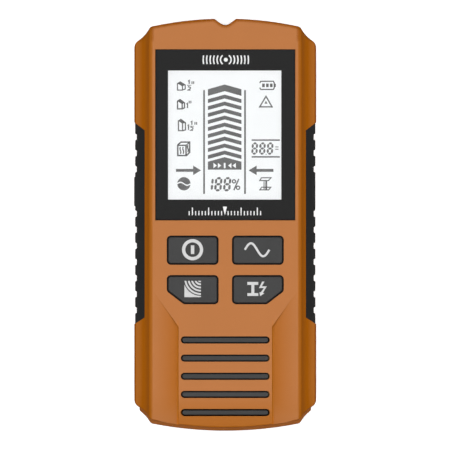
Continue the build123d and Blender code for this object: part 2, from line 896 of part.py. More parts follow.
key_places = {"power": (-1, 0), "ac": (1, 0), "scan": (-1, 1), "metal": (1, 1)}
key_caps = {f"key_{name}": key_cap(*place) for name, place in key_places.items()}
key_stems = {f"stem_{name}": key_stem(*place) for name, place in key_places.items()}

with BuildPart() as key_switches:
    switch_spots = [(side * key_column_x, key_row_ys[row]) for side, row in key_places.values()]
    with BuildSketch(Plane.XY.offset(board_z[1])):
        with Locations(*switch_spots):
            RectangleRounded(switch_width, switch_width, 0.4)
    extrude(amount=switch_top_z - board_z[1])
    with BuildSketch(Plane.XY.offset(switch_bore_z)):
        with Locations(*switch_spots):
            Circle(switch_stem_r + switch_clearance)
    extrude(amount=switch_top_z - switch_bore_z, mode=Mode.SUBTRACT)

with BuildPart() as side_button:
    cap_y = (button_y - button_length / 2, button_y + button_length / 2)
    cap_z = (button_z - button_height / 2, button_z + button_height / 2)
    add(block((button_face_x, button_flange_x[0]), cap_y, cap_z))
    fillet(side_button.edges().filter_by(Axis.Z).group_by(Axis.X)[0], button_end_r)
    fillet(side_button.faces().sort_by(Axis.X)[0].edges().filter_by(Axis.Y), button_side_r)
    flange_y = (cap_y[0] - button_flange_step, cap_y[1] + button_flange_step)
    flange_z = (cap_z[0] - button_flange_rise[0], cap_z[1] + button_flange_rise[1])
    add(block(button_flange_x, flange_y, flange_z))

with BuildPart() as side_stem:
    with BuildSketch(Plane.YZ.offset(button_flange_x[1])):
        with Locations((button_y, button_z)):
            Circle(button_stem_r)
    extrude(amount=button_stem_length)

with BuildPart() as side_switch:
    switch_y = (button_y - side_switch_half_y, button_y + side_switch_half_y)
    add(block(side_switch_x, switch_y, (side_switch_low_z, board_z[0])))
    with BuildSketch(Plane.YZ.offset(side_switch_x[0])):
        with Locations((button_y, button_z)):
            Circle(button_stem_r + switch_clearance)
    extrude(amount=side_switch_bore_depth, mode=Mode.SUBTRACT)


# ---------------------------------------------------------------- rear shell and battery door
def rear_form():
    """Outside of the rear half, with its back edge and its upper lip rounded."""
    with BuildPart() as form:
        add(crown_body(rear_plan, parting_z, side_r=1.2))
        split(bisect_by=Plane.XY.offset(pad_top_z))
        fillet(form.faces().sort_by(Axis.Z)[0].edges(), back_edge_r)
        fillet(form.faces().sort_by(Axis.Z)[-1].edges(), lip_r)
    return form.part


def tongue_ring():
    """Locating tongue that stands up inside the front shell, open behind the notch."""
    with BuildPart() as ring:
        with BuildSketch(Plane.XY.offset(tongue_z[0])):
            add(shell_plan(*tongue_plan, side_r=1.5, crown_r=1.0))
            add(shell_plan(*tongue_bore_plan, side_r=1.5, crown_r=1.0), mode=Mode.SUBTRACT)
        extrude(amount=tongue_z[1] - tongue_z[0])
        add(block(across(tongue_break_half), (0, reach), tongue_z), mode=Mode.SUBTRACT)
    return ring.part


def right_and_left(part):
    """A part and its mirror image."""
    return [part, part.mirror(Plane.YZ)]


with BuildPart() as rear_cavity:
    add(cavity_body(rear_cavity_plan, blank_top_z))
    split(bisect_by=Plane.XY.offset(floor_top_z))

with BuildPart() as rear_shell:
    add(rear_form())
    add(rear_cavity.part, mode=Mode.SUBTRACT)
    add(tongue_ring())
    add(block(across(bay_wall_half_x), bay_wall_y, (floor_top_z, bay_wall_top_z)))
    add(block(*bay_notch), mode=Mode.SUBTRACT)
    # rails over the door's tongues
    tongue_roof_z = door_tongue_z + door_tongue_gap
    add(right_and_left(block(rail_foot_x, rail_y, (floor_top_z, rail_top_z))))
    add(right_and_left(block(rail_hook_x, rail_y, (tongue_roof_z, rail_top_z))))
    # opening for the door and its tongues
    door_way_y = (-reach, door_top_y + door_gap)
    add(block(across(door_half_x + door_gap), door_way_y, (0, door_cut_z)), mode=Mode.SUBTRACT)
    end_way_y = (-reach, door_way_high_y)
    add(block(across(door_way_half_x), end_way_y, (floor_top_z, tongue_roof_z)), mode=Mode.SUBTRACT)
    # screw towers, sensor board posts and their pins
    with BuildSketch(Plane.XY.offset(floor_top_z)):
        with Locations(*case_screw_spots):
            Circle(case_tower_r)
    extrude(amount=case_tower_top_z - floor_top_z)
    with BuildSketch(Plane.XY.offset(floor_top_z)):
        with Locations(*sensor_post_spots):
            Circle(sensor_post_r)
    extrude(amount=sensor_board_z[0] - floor_top_z)
    with BuildSketch(Plane.XY.offset(floor_top_z)):
        with Locations(*sensor_post_spots):
            Circle(sensor_pin_r)
    extrude(amount=sensor_board_z[1] + post_pin_rise - floor_top_z)
    with BuildSketch():
        with Locations(*case_screw_spots):
            Circle(case_screw_r + screw_clearance)
    extrude(amount=blank_top_z, mode=Mode.SUBTRACT)
    with BuildSketch():
        with Locations(*case_screw_spots):
            Circle(counterbore_r)
    extrude(amount=screw_seat_z, mode=Mode.SUBTRACT)

with BuildPart() as door_tongues:
    add(rear_form())
    tongue_y = (-reach, door_top_y - door_tongue_setback)
    tongues = right_and_left(block(door_tongue_x, tongue_y, (door_plate_z, door_tongue_z)))
    add(tongues, mode=Mode.INTERSECT)

with BuildPart() as battery_door:
    add(rear_form())
    add(block(across(door_half_x), (-reach, door_top_y), (0, door_plate_z)), mode=Mode.INTERSECT)
    add(door_tongues.part)
    for i in range(finger_rib_count):
        rib_y = finger_rib_first_y + finger_rib_pitch * i
        add(block(across(finger_rib_half_x), (rib_y, rib_y + finger_rib_width), finger_rib_z))


# ---------------------------------------------------------------- battery and its connector
with BuildPart() as battery:
    add(block(battery_x, battery_y, battery_z))
    fillet(battery.edges().filter_by(Axis.X), battery_corner_r)
    for end in (0, -1):
        fillet(battery.faces().sort_by(Axis.X)[end].edges(), battery_end_r)

terminal_z = sum(battery_z) / 2
with BuildPart() as battery_terminals:
    with BuildSketch(Plane.YZ.offset(battery_x[1])):
        with Locations((positive_y, terminal_z)):
            Circle(positive_stud_r)
        with Locations((negative_y, terminal_z)):
            RegularPolygon(negative_stud_r, 6)
    extrude(amount=stud_height)
    chamfer(battery_terminals.faces().sort_by(Axis.X)[-2:].edges(), 0.3)

with BuildPart() as battery_snap:
    add(block(snap_x, snap_y, (terminal_z - snap_half_z, terminal_z + snap_half_z)))
    fillet(battery_snap.edges().filter_by(Axis.X), battery_corner_r)
    with BuildSketch(Plane.YZ.offset(snap_x[0])):
        with Locations((positive_y, terminal_z)):
            Circle(positive_stud_r + snap_socket_gap)
        with Locations((negative_y, terminal_z)):
            Circle(negative_stud_r + snap_socket_gap)
    extrude(amount=snap_socket_depth, mode=Mode.SUBTRACT)

with BuildPart() as battery_connector:
    add(block(connector_x, connector_y, (connector_low_z, board_z[0])))
    fillet(battery_connector.edges().filter_by(Axis.Y), 0.4)

with BuildPart() as battery_foam:
    add(block(across(foam_half_x), foam_y, (battery_z[1], foam_top_z)))


def lead(lift):
    """One battery lead, from the snap's end to the connector on the board."""
    low_z = terminal_z - lead_exit_drop + lift
    high_z = lead_board_z + lift
    with BuildPart() as wire:
        with BuildLine():
            route = FilletPolyline(
                (lead_snap_x, snap_y[1], low_z),
                (lead_snap_x, snap_y[1] + lead_exit_run, low_z),
                (lead_board_x, connector_y[0] - lead_entry_run, high_z),
                (lead_board_x, connector_y[0], high_z),
                radius=lead_bend_r,
            )
        with BuildSketch(Plane(origin=route @ 0, z_dir=route % 0)):
            Circle(lead_r)
        sweep()
    return wire


lead_red = lead(lead_spacing / 2)
lead_black = lead(-lead_spacing / 2)


# ---------------------------------------------------------------- pads and screws
with BuildPart() as glide_pads:
    with BuildSketch():
        for (pad_x, pad_y), pad_size in (upper_pads, lower_pads):
            with Locations((-pad_x, pad_y), (pad_x, pad_y)):
                RectangleRounded(*pad_size, pad_corner_r)
    extrude(amount=pad_top_z)


def screws(spots, head_r, head_z, shank_r, tip_z):
    """Cross-head screws driven upward: a head between two heights and a shank above it."""
    long_arm = head_r * 1.2
    short_arm = head_r * 0.25
    with BuildPart() as group:
        with BuildSketch(Plane.XY.offset(head_z[0])):
            with Locations(*spots):
                Circle(head_r)
        extrude(amount=head_z[1] - head_z[0])
        chamfer(group.edges().group_by(Axis.Z)[0], head_chamfer)
        with BuildSketch(Plane.XY.offset(head_z[0])):
            with Locations(*spots):
                Rectangle(long_arm, short_arm)
                Rectangle(short_arm, long_arm)
        extrude(amount=recess_depth, mode=Mode.SUBTRACT)
        with BuildSketch(Plane.XY.offset(head_z[1])):
            with Locations(*spots):
                Circle(shank_r)
        extrude(amount=tip_z - head_z[1])
        chamfer(group.edges().group_by(Axis.Z)[-1], tip_chamfer)
    return group


case_head_z = (case_head_low_z, screw_seat_z)
board_head_z = (board_head_low_z, board_z[0])
case_screws = screws(case_screw_spots, case_head_r, case_head_z, case_screw_r, case_tip_z)
board_screws = screws(board_screw_spots, board_head_r, board_head_z, board_screw_r, board_tip_z)


# ---------------------------------------------------------------- hand over each piece
pieces = {
    "front_shell": front_shell,
    "rear_shell": rear_shell,
    "battery_door": battery_door,
    "grip_left": grip_left,
    "grip_right": grip_right,
    "grip_bars": grip_bars,
    "display_lens": display_lens,
    "lens_mask": lens_mask,
    "lcd_polariser": lcd_polariser,
    "lcd_front_glass": lcd_front_glass,
    "lcd_rear_glass": lcd_rear_glass,
    "lcd_backlight": lcd_backlight,
    "lcd_bracket": lcd_bracket,
    "elastomer_strip": elastomer_strip,
    "main_board": main_board,
    "controller_chip": controller_chip,
    "amplifier_chips": amplifier_chips,
    "capacitors": capacitors,
    "crystal": crystal,
    "buzzer": buzzer,
    "key_switches": key_switches,
    "side_switch": side_switch,
    "side_button": side_button,
    "side_stem": side_stem,
    "sensor_board": sensor_board,
    "sensor_plates": sensor_plates,
    "coil_bobbin": coil_bobbin,
    "coil_winding": coil_winding,
    "link_header": link_header,
    "link_pins": link_pins,
    "battery": battery,
    "battery_terminals": battery_terminals,
    "battery_snap": battery_snap,
    "battery_connector": battery_connector,
    "battery_foam": battery_foam,
    "lead_red": lead_red,
    "lead_black": lead_black,
    "glide_pads": glide_pads,
    "case_screws": case_screws,
    "board_screws": board_screws,
    **key_caps,
    **key_stems,
}
os.makedirs("parts", exist_ok=True)
for label, piece in pieces.items():
    piece.part.label = label
    export_step(piece.part, f"parts/{label}.step")
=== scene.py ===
"""Looks of a hand-held wall scanner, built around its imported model."""

import math

import bmesh
import bpy
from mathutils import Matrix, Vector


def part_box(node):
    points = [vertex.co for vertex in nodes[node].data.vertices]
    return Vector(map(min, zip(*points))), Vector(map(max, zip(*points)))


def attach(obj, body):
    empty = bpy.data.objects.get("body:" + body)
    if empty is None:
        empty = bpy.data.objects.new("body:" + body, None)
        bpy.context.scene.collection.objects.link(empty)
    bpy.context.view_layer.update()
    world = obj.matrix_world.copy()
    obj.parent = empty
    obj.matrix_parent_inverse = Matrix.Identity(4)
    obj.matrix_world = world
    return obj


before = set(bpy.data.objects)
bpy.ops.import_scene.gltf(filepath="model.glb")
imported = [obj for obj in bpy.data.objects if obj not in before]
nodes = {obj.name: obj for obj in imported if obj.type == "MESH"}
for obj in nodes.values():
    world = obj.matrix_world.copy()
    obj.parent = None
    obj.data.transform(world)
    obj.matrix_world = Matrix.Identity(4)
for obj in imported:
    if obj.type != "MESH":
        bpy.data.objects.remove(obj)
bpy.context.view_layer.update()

MM = 0.001


# ---------------------------------------------------------------- materials
def linear(r, g, b):
    """Linear colour of 0-255 screen values."""
    return tuple(((c / 255 + 0.055) / 1.055) ** 2.4 if c > 10 else c / 3294.6 for c in (r, g, b)) + (1.0,)


def scaled(colour, factor):
    """A colour made darker or lighter."""
    return tuple(min(1.0, c * factor) for c in colour[:3]) + (1.0,)


class Surface:
    """A procedural material around one Principled shader."""

    def __init__(self, name, **values):
        self.material = bpy.data.materials.new(name)
        self.material.use_nodes = True
        self.tree = self.material.node_tree
        self.shader = self.tree.nodes["Principled BSDF"]
        self.place = self.tree.nodes.new("ShaderNodeTexCoord").outputs["Object"]
        for socket, value in values.items():
            self.shader.inputs[socket.replace("_", " ")].default_value = value

    def node(self, kind, links=(), **settings):
        made = self.tree.nodes.new("ShaderNode" + kind)
        for setting, value in settings.items():
            setattr(made, setting, value)
        for socket, source in dict(links).items():
            if isinstance(source, bpy.types.NodeSocket):
                self.tree.links.new(source, made.inputs[socket])
            else:
                made.inputs[socket].default_value = source
        return made

    def noise(self, size_mm, detail=3.0, stretch=(1, 1, 1)):
        """Noise with features about size_mm across, stretched along some axes."""
        mapping = self.node("Mapping", {"Vector": self.place, "Scale": tuple(1 / s for s in stretch)})
        links = {"Vector": mapping.outputs[0], "Scale": 1 / (size_mm * MM), "Detail": detail}
        return self.node("TexNoise", links).outputs["Fac"]

    def spread(self, value, low, high, to_low=0.0, to_high=1.0):
        """Map low..high to to_low..to_high, clamped."""
        links = {"Value": value, "From Min": low, "From Max": high, "To Min": to_low, "To Max": to_high}
        return self.node("MapRange", links).outputs[0]

    def maths(self, operation, a, b=0.0):
        return self.node("Math", {0: a, 1: b}, operation=operation).outputs[0]

    def mix(self, factor, a, b):
        """Colour between a and b."""
        made = self.node("Mix", {"Factor": factor}, data_type="RGBA")
        for socket, source in ((made.inputs[6], a), (made.inputs[7], b)):
            if isinstance(source, bpy.types.NodeSocket):
                self.tree.links.new(source, socket)
            else:
                socket.default_value = source
        return made.outputs[2]

    def edges(self, radius_mm, low=0.02, high=0.25):
        """1 along sharp edges, falling to 0 about radius_mm away."""
        soft = self.node("Bevel", {"Radius": radius_mm * MM}, samples=6).outputs[0]
        plain = self.node("NewGeometry").outputs["Normal"]
        alike = self.node("VectorMath", {0: soft, 1: plain}, operation="DOT_PRODUCT").outputs["Value"]
        return self.spread(self.maths("SUBTRACT", 1.0, alike), low, high)

    def colour(self, source):
        self.tree.links.new(source, self.shader.inputs["Base Color"])

    def roughness(self, source):
        self.tree.links.new(source, self.shader.inputs["Roughness"])

    def bump(self, height, depth_mm, strength=1.0):
        links = {"Height": height, "Distance": depth_mm * MM, "Strength": strength}
        self.tree.links.new(self.node("Bump", links).outputs[0], self.shader.inputs["Normal"])

    def axis(self, letter):
        return self.node("SeparateXYZ", {0: self.place}).outputs[letter]


# places on the front that the masks follow
front_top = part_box("display_lens")[1].z
key_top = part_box("key_power")[1].z
roll_start = 58 * MM
roll_r = 42.6 * MM
scoop_deep = 1.3 * MM
panel_half = 17.5 * MM
scoop_half = 27.3 * MM
scoop_shade_strength = 0.72
scoop_fade_y = -60 * MM
scoop_full_y = -72 * MM
foot_half = 18.2 * MM
foot_start = -35 * MM
foot_end = -75 * MM
opening_half = 26.7 * MM
crown_start = 68.5 * MM
brim_half = 33.6 * MM
blur = 0.1 * MM


def below_key_top(skin):
    """Flanks and flange of a key, down in the gap round it: where near-black is painted as the gap's shade.
    """
    return skin.spread(skin.axis("Z"), key_top - 0.42 * MM, key_top - 0.22 * MM, 1.0, 0.0)


def face_level(skin):
    """Height as if the front face, which curves away toward the lower end, were flat."""
    past = skin.maths("MINIMUM", skin.maths("ADD", skin.axis("Y"), roll_start), 0.0)
    square = skin.maths("MULTIPLY", past, past)
    centre_drop = skin.maths("SQRT", skin.maths("SUBTRACT", roll_r * roll_r, square))
    return skin.maths("ADD", skin.axis("Z"), skin.maths("SUBTRACT", roll_r, centre_drop))


def below_face(skin):
    """What lies deeper than the front face: where near-black is painted on the bars as the shade in their
    slots.
    """
    return skin.spread(face_level(skin), front_top - 0.45 * MM, front_top - 0.25 * MM, 1.0, 0.0)


def scoop_share(skin):
    """How far down the scoops beside the raised panel a point lies, less so near their lower end: the share
    of painted shade on the scoops.
    """
    depth = skin.spread(face_level(skin), front_top - scoop_deep, front_top, 1.0, 0.0)
    across = skin.maths("ABSOLUTE", skin.axis("X"))
    outside_panel = skin.spread(across, panel_half - blur, panel_half + blur)
    inside_scoop = skin.spread(across, scoop_half - blur, scoop_half + blur, scoop_shade_strength, 0.0)
    beside = skin.maths("MULTIPLY", outside_panel, inside_scoop)
    fading = skin.spread(skin.axis("Y"), -74 * MM, -60 * MM, 0.25, 1.0)
    return skin.maths("MULTIPLY", skin.maths("MULTIPLY", skin.maths("SQRT", depth), beside), fading)


def scoop_end(skin):
    """Lower end of the scoops, where the painted slope shade is held back so that it keeps the tone of the
    face though it leans.
    """
    across = skin.maths("ABSOLUTE", skin.axis("X"))
    outside_panel = skin.spread(across, panel_half - blur, panel_half + blur)
    inside_scoop = skin.spread(across, scoop_half - blur, scoop_half + 5 * blur, 1.0, 0.0)
    low_down = skin.spread(skin.axis("Y"), scoop_full_y, scoop_fade_y, 0.85, 0.0)
    return skin.maths("MULTIPLY", skin.maths("MULTIPLY", outside_panel, inside_scoop), low_down)


def panel_foot(skin):
    """Side walls of the raised panel, which the corner at their foot would make too dark: a lighter tone is
    painted there as painted light.
    """
    across = skin.maths("ABSOLUTE", skin.axis("X"))
    outside_panel = skin.spread(across, panel_half - blur, panel_half + blur)
    near_panel = skin.spread(across, foot_half - 2 * blur, foot_half + 2 * blur, 1.0, 0.0)
    stronger = skin.spread(skin.axis("Y"), foot_end, scoop_fade_y, 1.0, 0.62)
    below_start = skin.spread(skin.axis("Y"), foot_start - 5 * MM, foot_start, 1.0, 0.0)
    strip = skin.maths("MULTIPLY", outside_panel, near_panel)
    return skin.maths("MULTIPLY", strip, skin.maths("MULTIPLY", stronger, below_start))


def moulded(name, colour, rough, grain_mm=0.35, depth_mm=0.012, mottle=0.05, wear=0.12, wear_mm=0.35,
            drift=0.06, shine=0.5, slope_shades=None, rim=None, gap_shade=None):
    """Moulded plastic or rubber: faint mottling, spark-eroded grain, edges rubbed a little paler.

    The tones for leaning surfaces are painted shade: gentle slopes, steep ones and the outline take darker
    tones, and the panel's foot a lighter one as painted light. rim is a painted shade on rounded outer edges,
    and the gap mask marks what lies in a gap, painted near-black as its shade."""
    skin = Surface(name, Specular_IOR_Level=shine)
    patches = skin.spread(skin.noise(14.0, 4.0), 0.3, 0.7)
    speck = skin.spread(skin.noise(grain_mm * 1.7, 2.0), 0.35, 0.65)
    base = skin.mix(patches, scaled(colour, 1 - mottle), scaled(colour, 1 + mottle))
    base = skin.mix(skin.maths("MULTIPLY", speck, 0.35), base, scaled(colour, 1 - 1.6 * mottle))
    lie = skin.node("SeparateXYZ", {0: skin.node("NewGeometry").outputs["Normal"]}).outputs["Z"]
    if wear:
        uneven = skin.spread(skin.noise(3.0), 0.35, 0.7, 0.3, wear * 4)
        paler_edges = skin.maths("MULTIPLY", skin.edges(wear_mm), uneven)
        # With a rim tone, only edges that border a flat front stay paler, which gives pale lines round the
        # openings.
        if rim:
            paler_edges = skin.maths("MULTIPLY", paler_edges, skin.spread(lie, 0.9, 0.98))
        base = skin.mix(paler_edges, base, scaled(colour, 1 + wear * 3))
    # Painted shade: gentle and steep slopes take darker tones by how far they lean, standing in for the light
    # they lose.
    if slope_shades:
        gentle, steep, foot, outline = slope_shades
        off_wall = skin.spread(lie, 0.05, 0.3)
        slope = skin.maths("MULTIPLY", off_wall, skin.spread(lie, 0.955, 0.999, 1.0, 0.0))
        even = skin.maths("SUBTRACT", 1.0, scoop_end(skin))
        base = skin.mix(skin.maths("MULTIPLY", slope, even), base, gentle)
        # Painted shade on steep slopes and down in the scoops.
        flank = skin.maths("MAXIMUM", skin.spread(lie, 0.7, 0.81, 1.0, 0.0), scoop_share(skin))
        base = skin.mix(skin.maths("MULTIPLY", off_wall, flank), base, steep)
        # Painted light: the foot of the panel's side walls is lightened against the corner's shade.
        base = skin.mix(panel_foot(skin), base, foot)
        # Painted shade: a dark outline along the rounded top edge above the lens and along the outer brim of
        # the sides.
        above_lens = skin.spread(skin.axis("Y"), crown_start, crown_start + 1.5 * MM)
        crown = skin.maths("MULTIPLY", above_lens, skin.edges(1.3, 0.001, 0.006))
        across = skin.maths("ABSOLUTE", skin.axis("X"))
        brim = skin.spread(across, brim_half - blur / 2, brim_half + blur / 2)
        base = skin.mix(skin.maths("MULTIPLY", off_wall, skin.maths("MAXIMUM", crown, brim)), base, outline)
    # Painted shade: rounded outer edges that turn away from the light take a dark brown tone.
    if rim:
        rim_shade_mask = skin.maths("MULTIPLY", skin.spread(lie, 0.04, 0.2), skin.spread(lie, 0.35, 0.64, 0.9, 0.0))
        base = skin.mix(rim_shade_mask, base, rim)
    # Painted shade: what lies in a gap is painted near-black.
    if gap_shade:
        base = skin.mix(gap_shade(skin), base, (0.003, 0.003, 0.003, 1.0))
    skin.colour(base)
    skin.roughness(skin.spread(skin.noise(6.0, 5.0), 0.3, 0.7, rough - drift, rough + drift))
    skin.bump(skin.noise(grain_mm, 2.0), depth_mm)
    return skin.material


def inside_openings(skin):
    """Upright walls of the openings in the front, which see no light: where near-black is painted as their
    shade.
    """
    lie = skin.node("SeparateXYZ", {0: skin.node("NewGeometry").outputs["Normal"]}).outputs["Z"]
    across = skin.maths("ABSOLUTE", skin.axis("X"))
    inner = skin.spread(across, opening_half - blur, opening_half + blur, 0.8, 0.0)
    away = skin.spread(skin.axis("Y"), 68 * MM, 69 * MM, 1.0, 0.0)
    near = skin.spread(skin.axis("Y"), -73 * MM, -72 * MM)
    upright = skin.spread(skin.maths("ABSOLUTE", lie), 0.02, 0.06, 1.0, 0.0)
    return skin.maths("MULTIPLY", skin.maths("MULTIPLY", inner, upright), skin.maths("MULTIPLY", away, near))


orange = (0.469, 0.176, 0.056, 1.0)
# Painted tones for the front: the gentle, steep and outline tones are painted shade, the foot tone is painted
# light and the rim tone is painted shade.
gentle_shade_orange = (0.432, 0.139, 0.0195, 1.0)
steep_shade_orange = (0.405, 0.111, 0.0009, 1.0)
foot_light_orange = (0.59, 0.187, 0.018, 1.0)
outline_shade_orange = (0.29, 0.074, 0.0006, 1.0)
rim_shade_orange = (0.25, 0.066, 0.001, 1.0)
front_plastic = moulded("front_plastic", orange, 0.32, depth_mm=0.006, mottle=0.018, wear=0.08, wear_mm=0.3,
                        drift=0.02, shine=0.06, rim=rim_shade_orange, gap_shade=inside_openings,
                        slope_shades=(gentle_shade_orange, steep_shade_orange, foot_light_orange, outline_shade_orange))
rear_plastic = moulded("rear_plastic", (0.383, 0.12, 0.015, 1.0), 0.42, grain_mm=0.5, mottle=0.03, wear=0.05,
                       drift=0.03, shine=0.15, rim=rim_shade_orange)
grip_rubber = moulded("grip_rubber", linear(26, 26, 26), 0.5, grain_mm=0.45, depth_mm=0.02, mottle=0.12,
                      wear=0.1, shine=0.42)
bar_rubber = moulded("bar_rubber", linear(49, 49, 49), 0.4, grain_mm=0.3, depth_mm=0.008, mottle=0.06,
                     wear=0.05, drift=0.03, shine=0.28, gap_shade=below_face)
key_plastic = moulded("key_plastic", linear(53, 53, 53), 0.34, grain_mm=0.25, depth_mm=0.005, mottle=0.03,
                      wear=0.1, drift=0.03, shine=0.28, gap_shade=below_key_top)
stem_plastic = moulded("stem_plastic", linear(214, 212, 203), 0.4, mottle=0.04)
bracket_plastic = moulded("bracket_plastic", linear(226, 226, 220), 0.45, mottle=0.03)
chip_epoxy = moulded("chip_epoxy", linear(34, 34, 36), 0.55, grain_mm=0.15, depth_mm=0.006, mottle=0.15)
foam_skin = moulded("foam_skin", linear(48, 48, 52), 0.9, grain_mm=0.6, depth_mm=0.15, mottle=0.2, wear=0)
felt_skin = moulded("felt_skin", linear(52, 52, 56), 0.95, grain_mm=0.3, depth_mm=0.12, mottle=0.25, wear=0)
elastomer_skin = moulded("elastomer_skin", linear(190, 150, 158), 0.6, mottle=0.06)
lead_red_skin = moulded("lead_red_skin", linear(178, 24, 22), 0.42, mottle=0.05, wear=0)
lead_black_skin = moulded("lead_black_skin", linear(26, 26, 26), 0.42, mottle=0.05, wear=0)


def printed(name, colour, rough=0.5, **values):
    """Ink: even, with a faint unevenness in tone and gloss."""
    ink = Surface(name, **values)
    tone = ink.spread(ink.noise(1.6, 4.0), 0.3, 0.7)
    ink.colour(ink.mix(tone, scaled(colour, 0.96), scaled(colour, 1.03)))
    ink.roughness(ink.spread(ink.noise(0.8), 0.3, 0.7, rough - 0.05, rough + 0.05))
    return ink.material


legend_ink = printed("legend_ink", linear(203, 203, 203), 0.5)
print_ink = printed("print_ink", linear(246, 246, 246), 0.45)
mask_ink = printed("mask_ink", (0.0345, 0.0345, 0.0345, 1.0), 0.5, Specular_IOR_Level=0.0)
symbol_ink = printed("symbol_ink", linear(86, 86, 86), 0.5)


def clear(name, rough, ior, tint):
    """Clear moulding with the finest haze of handling."""
    pane = Surface(name, **{"Transmission_Weight": 1.0, "IOR": ior})
    haze = pane.spread(pane.noise(9.0, 5.0), 0.35, 0.75)
    pane.colour(pane.mix(haze, tint, scaled(tint, 0.985)))
    pane.roughness(pane.spread(pane.noise(5.0, 6.0), 0.4, 0.8, rough, rough + 0.025))
    return pane.material


lens_clear = clear("lens_clear", 0.012, 1.46, (1.0, 1.0, 1.0, 1.0))
lcd_glass = clear("lcd_glass", 0.01, 1.5, (0.93, 0.98, 0.96, 1.0))


def painted_glow_film(name, colour, painted_glow):
    """Display film made to glow evenly, which is painted light that keeps it free of the bezel's shade; its
    tone drifts a touch at random.
    """
    film = Surface(name, Roughness=0.35, Emission_Strength=painted_glow)
    drift = film.spread(film.noise(22.0, 2.0), 0.3, 0.7)
    shade = film.mix(drift, colour, scaled(colour, 0.985))
    film.colour(shade)
    film.tree.links.new(shade, film.shader.inputs["Emission Color"])
    return film.material


# Painted light: the display film glows so it stays evenly bright, free of the bezel's shade.
lcd_film = painted_glow_film("lcd_film", (0.187, 0.1915, 0.1935, 1.0), 4.0)
light_guide = painted_glow_film("light_guide", (0.95, 0.97, 1.0, 1.0), 0.3)


def board(name):
    """Solder resist over copper tracks and a grid of plated vias."""
    card = Surface(name, Roughness=0.32)
    resist, track, tin = linear(18, 84, 44), linear(36, 118, 62), linear(196, 190, 170)
    lanes = card.node("TexBrick", {
        "Vector": card.place,
        "Scale": 620.0,
        "Mortar Size": 0.06,
        "Mortar Smooth": 0.2,
        "Bias": 0.0,
        "Brick Width": 2.6,
        "Row Height": 0.5,
    })
    lines = card.maths("SUBTRACT", 1.0, card.spread(lanes.outputs["Fac"], 0.2, 0.5))
    keep = card.spread(card.noise(9.0, 1.0), 0.45, 0.5)
    base = card.mix(card.maths("MULTIPLY", card.maths("SUBTRACT", 1.0, lines), keep), resist, track)
    dots = card.node("TexVoronoi", {"Vector": card.place, "Scale": 260.0, "Randomness": 0.55})
    via = card.spread(dots.outputs["Distance"], 0.09, 0.11, 1.0, 0.0)
    card.colour(card.mix(via, base, tin))
    card.roughness(card.spread(card.noise(4.0), 0.3, 0.7, 0.25, 0.4))
    return card.material


def metal(name, colour, rough, brush=(1, 1, 1)):
    """Metal with a fine directional brushing and slightly uneven shine."""
    sheet = Surface(name, Metallic=1.0)
    streak = sheet.noise(0.5, 4.0, brush)
    sheet.colour(sheet.mix(streak, scaled(colour, 0.82), scaled(colour, 1.12)))
    sheet.roughness(sheet.spread(sheet.noise(2.5, 4.0), 0.3, 0.7, rough - 0.07, rough + 0.1))
    sheet.bump(streak, 0.01)
    return sheet.material


def windings(name):
    """Enamelled copper wire lying in rings."""
    coil = Surface(name, Metallic=0.9)
    x, y, z = (coil.axis(letter) for letter in "XYZ")
    centre = (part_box("coil_winding")[0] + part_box("coil_winding")[1]) / 2
    across = coil.maths("SUBTRACT", x, centre.x)
    along = coil.maths("SUBTRACT", y, centre.y)
    radius = coil.maths("SQRT", coil.maths("ADD", coil.maths("MULTIPLY", across, across),
                                           coil.maths("MULTIPLY", along, along)))
    wave = coil.maths("SINE", coil.maths("MULTIPLY", coil.maths("ADD", radius, z), 2 * math.pi / (0.35 * MM)))
    coil.colour(coil.mix(coil.spread(wave, -1, 1), linear(120, 52, 18), linear(214, 122, 62)))
    coil.roughness(coil.spread(coil.noise(3.0), 0.3, 0.7, 0.28, 0.42))
    coil.bump(wave, 0.05)
    return coil.material


def battery_jacket(name):
    """Lacquered steel jacket: dark body with a pale band at its terminal end."""
    can = Surface(name, Metallic=0.55)
    low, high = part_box("battery")
    share = can.spread(can.axis("X"), low.x, high.x)
    band = can.spread(share, 0.76, 0.765)
    past_start = can.spread(share, 0.73, 0.733)
    line = can.maths("MULTIPLY", past_start, can.spread(share, 0.75, 0.753, 1.0, 0.0))
    base = can.mix(band, linear(30, 34, 40), linear(196, 152, 84))
    base = can.mix(line, base, linear(214, 214, 210))
    scuffs = can.spread(can.noise(7.0), 0.3, 0.7, 0.0, 0.25)
    can.colour(can.mix(scuffs, base, scaled(linear(60, 60, 62), 0.8)))
    can.roughness(can.spread(can.noise(5.0, 4.0), 0.3, 0.7, 0.26, 0.4))
    return can.material


pcb = board("pcb")
zinc = metal("zinc", (0.62, 0.62, 0.60, 1.0), 0.34, (1, 6, 1))
tinned = metal("tinned", (0.68, 0.66, 0.60, 1.0), 0.3)
copper = metal("copper", (0.80, 0.42, 0.24, 1.0), 0.35, (5, 1, 1))
coil_copper = windings("coil_copper")
jacket = battery_jacket("jacket")

